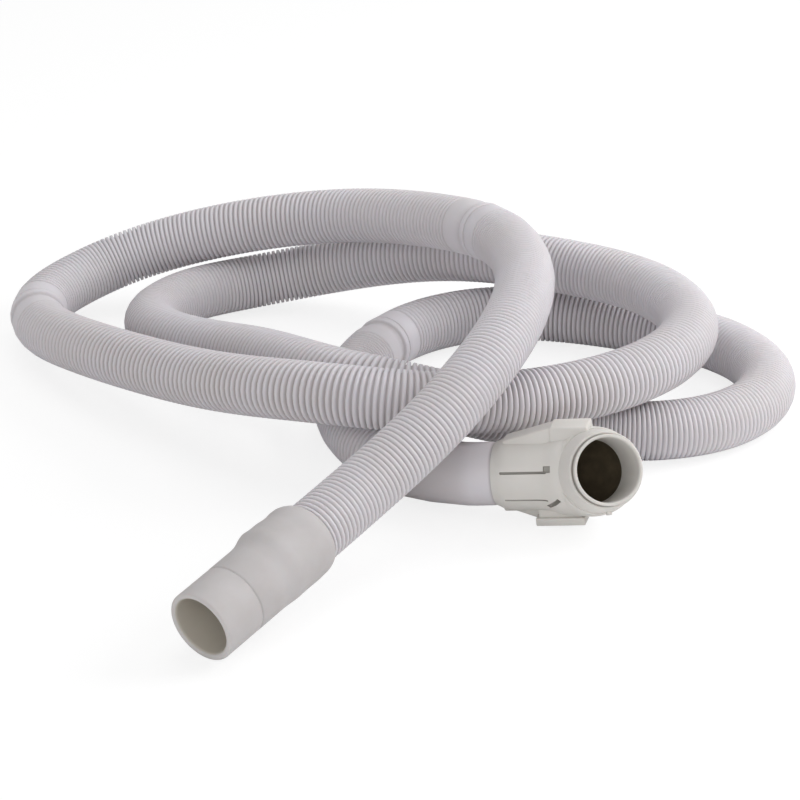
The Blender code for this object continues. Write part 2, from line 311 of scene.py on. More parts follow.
class Shading:
    """A material's node tree with short calls for the nodes that the finishes use.

    Attributes:
        NOISE_ROUGHNESS: How strongly the finer octaves of a noise show.
        NOISE_REACH: Noise values between which the roughness goes from lowest to highest.
        SCATTER_DEPTH: How far light scatters inside.
    """

    NOISE_ROUGHNESS = 0.55
    NOISE_REACH = (0.3, 0.7)
    SCATTER_DEPTH = 0.002

    def __init__(self, name: str) -> None:
        """Start a material with its Principled shader.

        Args:
            name: Name of the material.
        """
        self.material = bpy.data.materials.new(name)
        self.material.use_nodes = True
        self.nodes = self.material.node_tree.nodes
        self.links = self.material.node_tree.links
        self.shader = self.nodes["Principled BSDF"]
        self.place = self.nodes.new("ShaderNodeTexCoord").outputs["Object"]

    def link(self, start: bpy.types.NodeSocket, end: bpy.types.NodeSocket) -> None:
        """Join one node's output to another's input.

        Args:
            start: The output.
            end: The input.
        """
        self.links.new(start, end)

    def noise(self, scale: float, detail: float) -> bpy.types.NodeSocket:
        """Make a noise on the object's own coordinates.

        Args:
            scale: Waves per metre.
            detail: Octaves of finer noise.

        Returns:
            The noise's value, from 0 to 1.
        """
        node = self.nodes.new("ShaderNodeTexNoise")
        node.inputs["Scale"].default_value = scale
        node.inputs["Detail"].default_value = detail
        node.inputs["Roughness"].default_value = self.NOISE_ROUGHNESS
        self.link(self.place, node.inputs["Vector"])
        return node.outputs["Fac"]

    def spread(
        self, value: bpy.types.NodeSocket, low: float, high: float, to_low: float, to_high: float
    ) -> bpy.types.NodeSocket:
        """Map one range of values to another.

        Args:
            value: The value to map.
            low: Start of its range.
            high: End of its range.
            to_low: What the start becomes.
            to_high: What the end becomes.

        Returns:
            The mapped value.
        """
        node = self.nodes.new("ShaderNodeMapRange")
        for name, number in (("From Min", low), ("From Max", high), ("To Min", to_low), ("To Max", to_high)):
            node.inputs[name].default_value = number
        self.link(value, node.inputs["Value"])
        return node.outputs["Result"]

    def mix(
        self,
        share: bpy.types.NodeSocket,
        first: Color | bpy.types.NodeSocket,
        second: Color | bpy.types.NodeSocket,
    ) -> bpy.types.NodeSocket:
        """Mix two colours.

        Args:
            share: How much of the second colour shows.
            first: The first colour.
            second: The second colour.

        Returns:
            The mixed colour.
        """
        node = self.nodes.new("ShaderNodeMix")
        node.data_type = "RGBA"
        self.link(share, node.inputs["Factor"])
        for socket, color in ((node.inputs[6], first), (node.inputs[7], second)):
            if isinstance(color, tuple):
                socket.default_value = (*color, 1.0)
            else:
                self.link(color, socket)
        return node.outputs[2]

    def attribute(self, name: str) -> bpy.types.NodeSocket:
        """Read a number that the piece's mesh holds.

        Args:
            name: Name of the attribute.

        Returns:
            Its value.
        """
        node = self.nodes.new("ShaderNodeAttribute")
        node.attribute_name = name
        return node.outputs["Fac"]

    def clouds(self, clouds: Clouds, first: Color, second: Color) -> bpy.types.NodeSocket:
        """Mix two colours in soft clouds.

        Args:
            clouds: The clouds.
            first: The first colour.
            second: The second colour.

        Returns:
            The mixed colour.
        """
        noise = self.noise(clouds.scale, clouds.detail)
        share = self.spread(noise, clouds.start, clouds.full, 0.0, 1.0)
        return self.mix(share, first, second)

    def surface(self, base: bpy.types.NodeSocket, grain: Grain) -> bpy.types.Material:
        """Give the shader its colour and its fine surface.

        Args:
            base: The colour.
            grain: The fine surface.

        Returns:
            The finished material.
        """
        self.link(base, self.shader.inputs["Base Color"])
        rough = self.spread(self.noise(*grain.rough_noise), *self.NOISE_REACH, *grain.rough)
        self.link(rough, self.shader.inputs["Roughness"])
        bump = self.nodes.new("ShaderNodeBump")
        bump.inputs["Strength"].default_value = grain.bump
        bump.inputs["Distance"].default_value = grain.depth
        self.link(self.noise(*grain.bump_noise), bump.inputs["Height"])
        self.link(bump.outputs["Normal"], self.shader.inputs["Normal"])
        self.set("Subsurface Weight", grain.scatter)
        self.set("Subsurface Scale", self.SCATTER_DEPTH)
        self.set("Specular IOR Level", grain.specular)
        return self.material

    def set(self, name: str, value: float) -> None:
        """Set one of the shader's own numbers.

        Args:
            name: Name of the shader's input.
            value: Its number.
        """
        self.shader.inputs[name].default_value = value


@dataclass(frozen=True)
class RibbedPlastic:
    """Satin light grey plastic of the hose, with painted shade in its grooves.

    Attributes:
        pale: Colour of the ribs.
        warm: Colour of the slightly warmer patches.
        groove: Painted shade at the bottom of the grooves, a dark warm grey that stands in for the shade
            there.
        clouds: Where the warmer patches lie.
        grain: Fine surface.
    """

    pale: Color = (0.688, 0.662, 0.700)
    warm: Color = (0.670, 0.638, 0.660)
    groove: Color = (0.225, 0.182, 0.160)
    clouds: Clouds = Clouds(22.0, 2.0, 0.38, 0.62)
    grain: Grain = Grain((950.0, 3.0), (0.44, 0.56), (3200.0, 2.0), 0.12, 0.00008, 0.06, 0.42)

    def make(self) -> bpy.types.Material:
        """Build the material.

        Returns:
            The material.
        """
        look = Shading("hose_ribbed_plastic")
        ribs = look.clouds(self.clouds, self.pale, self.warm)
        # Painted shade: the groove attribute mixes in the dark groove colour where shade falls in the
        # grooves.
        base = look.mix(look.attribute("groove"), ribs, self.groove)
        return look.surface(base, self.grain)


@dataclass(frozen=True)
class CuffRubber:
    """Matte light grey moulded rubber of the cuff, with painted shade in its bore.

    Attributes:
        pale: Main colour.
        cloud: Colour of its faint darker clouds.
        worn: Colour of rubbed edges.
        bore_shade: Painted shade in the bore and socket, a darker warm grey.
        clouds: Where the clouds lie.
        grain: Fine surface.
    """

    pale: Color = (0.560, 0.535, 0.538)
    cloud: Color = (0.520, 0.492, 0.490)
    worn: Color = (0.640, 0.618, 0.600)
    bore_shade: Color = (0.500, 0.462, 0.400)
    clouds: Clouds = Clouds(60.0, 4.0, 0.35, 0.68)
    grain: Grain = Grain((1400.0, 4.0), (0.52, 0.66), (1800.0, 3.0), 0.22, 0.0001, 0.05, 0.35)

    def make(self) -> bpy.types.Material:
        """Build the material.

        Returns:
            The material.
        """
        look = Shading("cuff_moulded_rubber")
        base = look.clouds(self.clouds, self.pale, self.cloud)
        base = look.mix(look.attribute("worn"), base, self.worn)
        # Painted shade: the bore and socket take a darker, warmer grey.
        base = look.mix(look.attribute("bore_shade"), base, self.bore_shade)
        return look.surface(base, self.grain)


@dataclass(frozen=True)
class ElbowPlastic:
    """Satin warm grey moulded plastic of the elbow; a darker copy of it is painted shade in its slits and
    pockets.

    Attributes:
        name: Name of the material.
        pale: Main colour.
        cloud: Colour of its faint darker clouds.
        clouds: Where the clouds lie.
        grain: Fine surface.
    """

    name: str = "elbow_moulded_plastic"
    pale: Color = (0.700, 0.678, 0.645)
    cloud: Color = (0.662, 0.640, 0.606)
    clouds: Clouds = Clouds(45.0, 3.0, 0.35, 0.65)
    grain: Grain = Grain((1100.0, 3.0), (0.40, 0.52), (2600.0, 2.0), 0.1, 0.00008, 0.04, 0.45)

    def make(self) -> bpy.types.Material:
        """Build the material.

        Returns:
            The material.
        """
        look = Shading(self.name)
        return look.surface(look.clouds(self.clouds, self.pale, self.cloud), self.grain)


@dataclass(frozen=True)
class ElbowDepthShade:
    """Painted shade far inside the elbow, past the spigot's bore: a dark brown that stands in for the shade
    there.

    Attributes:
        dark: Main colour.
        lighter_cloud: Colour of its faint lighter clouds.
        clouds: Where the lighter clouds lie.
        grain: Fine surface.
    """

    dark: Color = (0.085, 0.067, 0.044)
    lighter_cloud: Color = (0.115, 0.092, 0.058)
    clouds: Clouds = Clouds(180.0, 3.0, 0.4, 0.7)
    grain: Grain = Grain((900.0, 2.0), (0.7, 0.85), (1500.0, 2.0), 0.1, 0.0001, 0.0, 0.1)

    def make(self) -> bpy.types.Material:
        """Build the material.

        Returns:
            The material.
        """
        look = Shading("elbow_depth_shade")
        return look.surface(look.clouds(self.clouds, self.dark, self.lighter_cloud), self.grain)


@dataclass(frozen=True)
class StudioFloor:
    """White studio floor that keeps a soft shadow.

    Attributes:
        color: Colour of the floor, as it lights the hose.
        seen: The share of that light that the camera sees, so that shadows stay faint.
        lift: Light that the floor adds for the camera alone, to come out white.
        roughness: Its roughness.
    """

    color: Color = (0.93, 0.93, 0.93)
    seen: Color = (0.26, 0.26, 0.26)
    lift: float = 0.80
    roughness: float = 0.9

    def make(self) -> bpy.types.Material:
        """Build the material.

        Returns:
            The material.
        """
        look = Shading("studio_floor")
        path = look.nodes.new("ShaderNodeLightPath")
        shade = look.mix(path.outputs["Is Camera Ray"], self.color, self.seen)
        look.link(shade, look.shader.inputs["Base Color"])
        look.set("Roughness", self.roughness)
        look.set("Specular IOR Level", 0.0)
        lifted = look.nodes.new("ShaderNodeMath")
        lifted.operation = "MULTIPLY"
        lifted.inputs[1].default_value = self.lift
        look.link(path.outputs["Is Camera Ray"], lifted.inputs[0])
        glow = look.nodes.new("ShaderNodeEmission")
        look.link(lifted.outputs[0], glow.inputs["Strength"])
        both = look.nodes.new("ShaderNodeAddShader")
        look.link(look.shader.outputs[0], both.inputs[0])
        look.link(glow.outputs[0], both.inputs[1])
        look.link(both.outputs[0], look.nodes["Material Output"].inputs["Surface"])
        return look.material


# Hose

ROUTE: tuple[Point, ...] = (
    (-0.030, -0.127, 0.0265),
    (-0.011, -0.103, 0.0335),
    (0.011, -0.082, 0.0460),
    (0.031, -0.059, 0.0595),
    (0.046, -0.027, 0.0680),
    (0.054, 0.024, 0.0700),
    (0.046, 0.075, 0.0680),
    (0.023, 0.113, 0.0620),
    (-0.020, 0.154, 0.0505),
    (-0.071, 0.169, 0.0395),
    (-0.115, 0.170, 0.0275),
    (-0.142, 0.160, 0.0190),
    (-0.158, 0.138, 0.0150),
    (-0.157, 0.111, 0.0150),
    (-0.134, 0.072, 0.0200),
    (-0.079, 0.009, 0.0315),
    (-0.037, -0.030, 0.0425),
    (0.003, -0.043, 0.0440),
    (0.042, -0.034, 0.0393),
    (0.079, -0.017, 0.0380),
    (0.109, 0.009, 0.0383),
    (0.125, 0.049, 0.0385),
    (0.112, 0.092, 0.0385),
    (0.077, 0.120, 0.0385),
    (0.028, 0.144, 0.0355),
    (-0.025, 0.167, 0.0215),
    (-0.067, 0.166, 0.0135),
    (-0.093, 0.152, 0.0124),
    (-0.107, 0.129, 0.0126),
    (-0.105, 0.103, 0.0150),
    (-0.085, 0.073, 0.0200),
    (-0.054, 0.034, 0.0305),
    (-0.023, -0.006, 0.0383),
    (0.005, -0.017, 0.0365),
    (0.039, -0.011, 0.0255),
    (0.080, -0.002, 0.0140),
    (0.107, -0.001, 0.0123),
    (0.135, 0.009, 0.0123),
    (0.155, 0.033, 0.0123),
    (0.158, 0.064, 0.0123),
    (0.142, 0.094, 0.0123),
    (0.108, 0.116, 0.0123),
    (0.053, 0.130, 0.0123),
    (0.008, 0.109, 0.0123),
    (-0.017, 0.057, 0.0123),
    (-0.018, 0.005, 0.0123),
    (0.005, -0.035, 0.0130),
    (0.031, -0.051, 0.0160),
    (0.041, -0.0535, 0.0174),
)
# Where the hose is squeezed or drawn out: run from its start and share of the plain pitch.
DRAW: tuple[tuple[float, float], ...] = (
    (0.04, 1.00),
    (0.10, 0.85),
    (0.20, 0.95),
    (0.35, 1.10),
    (0.48, 0.90),
    (0.62, 1.30),
    (0.69, 1.30),
    (0.76, 1.00),
    (0.84, 1.05),
    (1.00, 0.90),
    (1.12, 1.05),
    (1.20, 0.90),
    (1.33, 1.20),
    (1.45, 1.00),
    (1.56, 0.80),
    (1.70, 1.00),
)
CUFF_AXIS = Vector((0.600, 0.774, 0.202)).normalized()
ELBOW_AXIS = Vector((0.958, -0.250, 0.136)).normalized()
SPIGOT_AXIS = Vector((0.250, -0.868, 0.428)).normalized()


class CentreLine:
    """Smooth curve through the hose's route, run on straight into the cuff and the elbow."""

    SAMPLES = 60

    def __init__(self, route: Sequence[Point], lead_in: float, lead_out: float) -> None:
        """Fit the curve.

        Args:
            route: The route's points, from the cuff's back to the elbow's socket.
            lead_in: How far the hose reaches into the cuff.
            lead_out: How far it reaches into the elbow.
        """
        self.lead_in = lead_in
        fine = self.spline(np.array(route))
        start = fine[0] - np.array(CUFF_AXIS) * lead_in
        end = fine[-1] + np.array(ELBOW_AXIS) * lead_out
        self.fine = np.vstack([start, fine, end])
        travel = np.linalg.norm(np.diff(self.fine, axis=0), axis=1)
        self.run = np.concatenate([[0.0], np.cumsum(travel)])
        self.length = float(self.run[-1])

    @classmethod
    def spline(cls, points: np.ndarray) -> np.ndarray:
        """Work out the cubic curve through the points, straight at both ends.

        Args:
            points: The points, one to a row.

        Returns:
            Close points along the curve.
        """
        chords = np.linalg.norm(np.diff(points, axis=0), axis=1)
        steps = np.sqrt(chords)
        rise = np.diff(points, axis=0) / steps[:, None]
        last = len(points) - 1
        system = np.zeros((last + 1, last + 1))
        wanted = np.zeros((last + 1, 3))
        system[0, 0] = system[last, last] = 1.0
        wanted[0] = np.array(CUFF_AXIS) * chords[0] / steps[0]
        wanted[last] = np.array(ELBOW_AXIS) * chords[-1] / steps[-1]
        for i in range(1, last):
            system[i, i - 1] = steps[i]
            system[i, i] = 2 * (steps[i - 1] + steps[i])
            system[i, i + 1] = steps[i - 1]
            wanted[i] = 3 * (steps[i] * rise[i - 1] + steps[i - 1] * rise[i])
        slopes = np.linalg.solve(system, wanted)
        fine = []
        for i in range(last):
            t = np.linspace(0.0, 1.0, cls.SAMPLES, endpoint=False)[:, None]
            fine.append(
                (2 * t**3 - 3 * t**2 + 1) * points[i]
                + (t**3 - 2 * t**2 + t) * steps[i] * slopes[i]
                + (3 * t**2 - 2 * t**3) * points[i + 1]
                + (t**3 - t**2) * steps[i] * slopes[i + 1]
            )
        return np.vstack([*fine, points[-1:]])

    def read(self, runs: np.ndarray) -> np.ndarray:
        """Read the places at given runs along the curve.

        Args:
            runs: Distances from the hose's start.

        Returns:
            The places, one to a row.
        """
        return np.stack([np.interp(runs, self.run, self.fine[:, k]) for k in range(3)], axis=1)

    def tangents(self, runs: np.ndarray) -> np.ndarray:
        """Work out the curve's direction at given runs.

        Args:
            runs: Distances from the hose's start.

        Returns:
            The directions, one to a row.
        """
        reach = 0.0015
        ahead = self.read(np.clip(runs + reach, 2 * reach, self.length))
        behind = self.read(np.clip(runs - reach, 0.0, self.length - 2 * reach))
        ways = ahead - behind
        return ways / np.linalg.norm(ways, axis=1)[:, None]

    def bends(self, runs: np.ndarray) -> np.ndarray:
        """Work out how sharply the curve bends at given runs, and to which side.

        Args:
            runs: Distances from the hose's start.

        Returns:
            Vectors to the inner side of the bend, as long as one over its radius.
        """
        reach = 0.006
        return (self.tangents(runs + reach) - self.tangents(runs - reach)) / (2 * reach)

    def rings(self, runs: np.ndarray) -> tuple[np.ndarray, np.ndarray, np.ndarray]:
        """Work out ring centres with two untwisted directions across the curve.

        Args:
            runs: Distances from the hose's start.

        Returns:
            The centres and the two directions at each.
        """
        places = self.read(runs)
        tangents = self.tangents(runs)
        side = np.cross(tangents[0], (0.0, 0.0, 1.0))
        sides = np.empty_like(places)
        for i, tangent in enumerate(tangents):
            side = side - tangent * side.dot(tangent)
            side /= np.linalg.norm(side)
            sides[i] = side
        return places, sides, np.cross(tangents, sides)


@dataclass
class CorrugatedHose:
    """The hose: one ribbed tube with three plain bands and a plain end at the elbow.

    Attributes:
        diameter: Diameter over the ribs.
        pitch: Distance from rib to rib.
        groove_depth: Depth of the grooves between ribs.
        crest_share: Share of the pitch that a rib's crest takes.
        wall_share: Share of the pitch that a groove's wall takes.
        least_floor: Least share of a groove's width that its floor takes.
        groove_shade: How far a groove takes its painted shade at the plain pitch.
        least_shade: How far it takes it at least.
        shade_gain: How much darker a groove's painted shade gets as the hose is drawn out.
        bore: Diameter of the tube's inside.
        segments: Number of segments round the tube.
        lead_in: How far the hose reaches into the cuff.
        lead_out: How far the hose reaches into the elbow.
        tuck: How much less its radius is inside the elbow.
        bands: Places of the plain bands, from the cuff's back.
        plain_before: Plain length before each band's step.
        plain_after: Plain length after each band's step.
        plain_end: Length of the plain end, before the elbow.
        end_diameter: Diameter of the plain end.
        end_shade: How far the plain end takes the grooves' dark warm colour as a painted shadow, fading out
            towards the elbow.
        draw: How far the hose is squeezed or drawn out along its length.
        inner_rings: Number of rings of the inside.
        path_points: Number of points read along the centre line.
        slide_limits: Strongest squeeze and stretch that the crests take up.
    """

    diameter: float = 0.0245
    pitch: float = 0.0023
    groove_depth: float = 0.0015
    crest_share: float = 0.52
    wall_share: float = 0.16
    least_floor: float = 0.25
    groove_shade: float = 0.44
    least_shade: float = 0.15
    shade_gain: float = 1.5
    bore: float = 0.0203
    segments: int = 24
    lead_in: float = 0.010
    lead_out: float = 0.006
    tuck: float = 0.0002
    bands: tuple[float, ...] = (0.255, 0.521, 1.835)
    plain_before: float = 0.014
    plain_after: float = 0.015
    plain_end: float = 0.038
    end_diameter: float = 0.0250
    end_shade: float = 0.48
    draw: tuple[tuple[float, float], ...] = DRAW
    inner_rings: int = 260
    path_points: int = 520
    slide_limits: tuple[float, float] = (-0.25, 0.45)
    line: CentreLine = field(init=False)

    def __post_init__(self) -> None:
        """Fit the centre line."""
        self.line = CentreLine(ROUTE, self.lead_in, self.lead_out)

    def ribs(self, start: float, end: float) -> list[tuple[float, float]]:
        """Place the ribs of a stretch, closer or wider apart as the hose is squeezed or drawn out.

        Args:
            start: Where the stretch starts.
            end: Where it ends.

        Returns:
            Start and pitch of each rib.
        """
        places, shares = zip(*self.draw)
        marks = [start]
        while marks[-1] < end:
            marks.append(marks[-1] + self.pitch * float(np.interp(marks[-1], places, shares)))
        fit = (end - start) / (marks[-1] - start)
        marks = [start + (mark - start) * fit for mark in marks]
        return [(mark, after - mark) for mark, after in zip(marks, marks[1:])]

    def rib_rings(self, start: float, end: float) -> list[HoseRing]:
        """List the rings of a ribbed stretch.

        The crests keep their width where the hose is drawn out, and the grooves open and take
        more painted shade there. They keep it where the hose bends, too, so a ring slides towards its
        crest's middle where the bend stretches the hose and away from it on the other side.

        Args:
            start: Where the stretch starts.
            end: Where it ends.

        Returns:
            Run, radius, groove shade and slide of each ring.
        """
        crest = self.diameter / 2
        floor = crest - self.groove_depth
        half_crest = self.crest_share * self.pitch / 2
        rings = []
        for base, step in self.ribs(start, end):
            groove = step / 2 - half_crest
            half_floor = max(self.least_floor * groove, groove - self.wall_share * self.pitch)
            spread = half_floor * half_crest / groove
            # Painted shade in the groove, darker where the grooves open wider.
            shade = self.groove_shade + self.shade_gain * (step / self.pitch - 1.0)
            shade = min(1.0, max(self.least_shade, shade))
            rings.append((base + half_floor, floor, shade, spread))
            rings.append((base + groove, crest, 0.0, half_crest))
            rings.append((base + step - groove, crest, 0.0, -half_crest))
            rings.append((base + step - half_floor, floor, shade, -spread))
        return rings

    def band_rings(self, step: float) -> list[HoseRing]:
        """List the rings of a plain band: a thin groove, a ridge and a wide shallow neck.

        Args:
            step: Where the ridge drops to the neck.

        Returns:
            Run, radius, groove shade and slide of each ring.
        """
        crest = self.diameter / 2
        mm = MILLIMETRE
        # The third number of each row is painted shade: darkest in the thin groove, lighter over the neck.
        shape = (
            (-self.plain_before / mm + 0.6, -0.1, 0.1),
            (-self.plain_before / mm + 1.4, 0.0, 0.0),
            (-7.0, 0.0, 0.0),
            (-4.3, 0.05, 0.0),
            (-4.05, -0.1, 0.2),
            (-3.7, -0.65, 0.8),
            (-3.35, -0.1, 0.2),
            (-3.0, 0.22, 0.0),
            (-1.6, 0.28, 0.0),
            (-0.3, 0.22, 0.0),
            (0.1, -0.1, 0.1),
            (0.45, -0.75, 0.3),
            (1.0, -0.95, 0.3),
            (2.6, -0.9, 0.15),
            (4.4, -0.6, 0.05),
            (6.2, -0.15, 0.0),
            (7.6, 0.0, 0.0),
            (10.0, 0.0, 0.0),
            (self.plain_after / mm - 1.4, 0.0, 0.0),
            (self.plain_after / mm - 0.6, -0.1, 0.1),
        )
        return [(step + at * mm, crest + rise * mm, shade, 0.0) for at, rise, shade in shape]

    def rings(self) -> np.ndarray:
        """List the rings of the outside, from inside the cuff to inside the elbow.

        Returns:
            Run, radius, groove shade and slide, one ring to a row.
        """
        rings: list[HoseRing] = []
        start = 0.0
        for band in self.bands:
            step = self.lead_in + band
            rings += self.rib_rings(start, step - self.plain_before)
            rings += self.band_rings(step)
            start = step + self.plain_after
        plain = self.line.length - self.lead_out - self.plain_end
        rings += self.rib_rings(start, plain)
        swell = self.end_diameter / 2
        # Painted shadow of the strand that crosses over the plain end: its rings take end_shade of the
        # grooves' dark colour, fading out towards the elbow.
        for at, radius in ((0.0006, 0.996 * swell), (0.0014, swell), (0.012, swell), (0.026, swell)):
            rings.append((plain + at, radius, self.end_shade * (1.0 - at / self.plain_end), 0.0))
        for at in (0.008, 0.001):
            rings.append((self.line.length - self.lead_out - at, swell, 0.0, 0.0))
        narrow = self.diameter / 2 - self.tuck
        rings.append((self.line.length - self.lead_out + 0.0004, narrow, self.end_shade, 0.0))
        rings.append((self.line.length, narrow, self.end_shade, 0.0))
        return np.array(rings)

    def build(self) -> bpy.types.Object:
        """Build the tube as one closed skin, hollow from end to end.

        Returns:
            The hose.
        """
        outside = self.rings()
        inside = np.zeros((self.inner_rings, 4))
        inside[:, 0] = np.linspace(self.line.length, 0.0, self.inner_rings)
        inside[:, 1] = self.bore / 2
        rows = np.vstack([outside, inside])
        near, side, across = (np.vstack(pair) for pair in zip(
            self.line.rings(outside[:, 0]), [part[::-1] for part in self.line.rings(inside[::-1, 0])]
        ))
        turn = np.linspace(0.0, 2 * pi, self.segments, endpoint=False)
        wheel = side[:, None, :] * np.cos(turn)[:, None] + across[:, None, :] * np.sin(turn)[:, None]
        verts = near[:, None, :] + wheel * rows[:, 1, None, None]
        stretch = -np.einsum("ijk,ik->ij", wheel, self.line.bends(rows[:, 0])) * rows[:, 1, None]
        slide = np.clip(stretch, *self.slide_limits) * rows[:, 3, None]
        verts += slide[:, :, None] * self.line.tangents(rows[:, 0])[:, None, :]
        count = len(rows)
        faces = []
        for i in range(count):
            here = i * self.segments
            there = (i + 1) % count * self.segments
            for j in range(self.segments):
                k = (j + 1) % self.segments
                faces.append((here + j, here + k, there + k, there + j))
        mesh = bpy.data.meshes.new("hose")
        mesh.from_pydata(verts.reshape(-1, 3), [], faces)
        # The groove attribute carries the painted shade of the grooves and bands and the plain end's painted
        # shadow.
        shade = mesh.attributes.new("groove", "FLOAT", "POINT")
        shade.data.foreach_set("value", np.repeat(rows[:, 2], self.segments))
        mesh.polygons.foreach_set("use_smooth", [True] * len(faces))
        hose = bpy.data.objects.new("hose", mesh)
        bpy.context.scene.collection.objects.link(hose)
        return hose

    def declare(self) -> None:
        """Read points along the hose's centre line; nothing more is done with them.
        """
        path = self.line.read(np.linspace(0.0, self.line.length, self.path_points))


# Outlet cuff


@dataclass
class OutletCuff:
    """The plain stepped sleeve on the hose's outlet end.

    Attributes:
        length: Length from the mouth to the back.
        mouth: Outer diameter at the mouth.
        bore: Diameter of the bore.
        socket: Diameter of the recess that takes the hose.
        socket_depth: Depth of that recess.
        proud_side: Direction to the side where the grip stands proud.
        worn_length: Length from the mouth over which its edge looks rubbed.
        worn_share: How far the mouth takes the colour of rubbed edges.
        smooth_angle: Angle in degrees below which an edge is shaded smooth.
        seat_gap: Gap to the hose's end.
    """

    length: float = 0.0619
    mouth: float = 0.0278
    bore: float = 0.0225
    socket: float = 0.0254
    socket_depth: float = 0.0106
    proud_side: Point = (-0.607, 0.277, 0.744)
    worn_length: float = 0.0012
    worn_share: float = 0.5
    smooth_angle: float = 50.0
    seat_gap: float = 0.0003

    def outside(self) -> list[Ring]:
        """List the rings of the outside, from the mouth to the back.

        The grip stands proud on one side, where it has two soft humps.

        Returns:
            The rings.
        """
        mouth = self.mouth / 2
        mm = MILLIMETRE
        shape = (
            (-0.9, 0.0, -0.2),
            (-0.35, 0.12, -0.2),
            (-0.08, 0.45, -0.2),
            (0.0, 1.0, -0.2),
            (0.0, 17.5, -0.2),
            (-0.1, 17.75, -0.2),
            (-0.38, 18.0, -0.2),
            (-0.38, 18.2, -0.2),
            (-0.05, 18.5, -0.2),
            (0.05, 18.8, -0.2),
            (0.08, 31.0, -0.15),
            (0.22, 33.6, -0.05),
            (0.65, 36.2, 0.2),
            (1.1, 38.2, 0.48),
            (1.28, 39.6, 0.6),
            (1.2, 41.2, 0.5),
            (1.1, 43.6, 0.46),
            (1.1, 46.2, 0.5),
            (0.95, 49.6, 0.3),
            (0.92, 52.4, 0.26),
            (1.0, 54.6, 0.46),
            (0.92, 56.6, 0.46),
            (0.6, 58.2, 0.34),
            (0.05, 59.6, 0.2),
            (-0.6, 60.6, 0.06),
            (-1.0, 61.0, 0.0),
        )
        return [Ring(mouth + rise * mm, height * mm, shift * mm) for rise, height, shift in shape]

    def inside(self) -> list[Ring]:
        """List the rings of the inside, from the back to the mouth.

        Returns:
            The rings.
        """
        bore = self.bore / 2
        socket = self.socket / 2
        floor = self.length - self.socket_depth
        mm = MILLIMETRE
        shape = (
            (socket + 0.1 * mm, 61.0 * mm),
            (socket, 60.8 * mm),
            (socket, floor),
            (bore, floor - 0.1 * mm),
            (bore, 20.0 * mm),
            (bore, 1.3 * mm),
            (bore + 0.25 * mm, 0.6 * mm),
            (bore + 0.7 * mm, 0.15 * mm),
            (bore + 1.1 * mm, 0.0),
        )
        return [Ring(radius, height) for radius, height in shape]

    def build(self) -> bpy.types.Object:
        """Build the cuff, with its back facing the hose.

        Returns:
            The cuff.
        """
        cuff = Bench.turned("cuff", self.outside() + self.inside(), closed=True)
        worn = cuff.data.attributes.new("worn", "FLOAT", "POINT")
        bore_shade = cuff.data.attributes.new("bore_shade", "FLOAT", "POINT")
        for number, vertex in enumerate(cuff.data.vertices):
            from_mouth = min(1.0, vertex.co.z / self.worn_length)
            worn.data[number].value = self.worn_share * (1.0 - from_mouth)
            # Where the bore's painted shade goes: the bore and socket past the mouth's first half
            # millimetre.
            depth_shade = vertex.co.xy.length < self.socket / 2 + 0.0001 and vertex.co.z > 0.0005
            bore_shade.data[number].value = 1.0 if depth_shade else 0.0
        back = Vector(ROUTE[0]) - CUFF_AXIS * self.seat_gap
        Bench.settle(cuff, along(back - CUFF_AXIS * self.length, CUFF_AXIS, Vector(self.proud_side)))
        Bench.smooth(cuff, self.smooth_angle)
        return cuff


# Inlet elbow


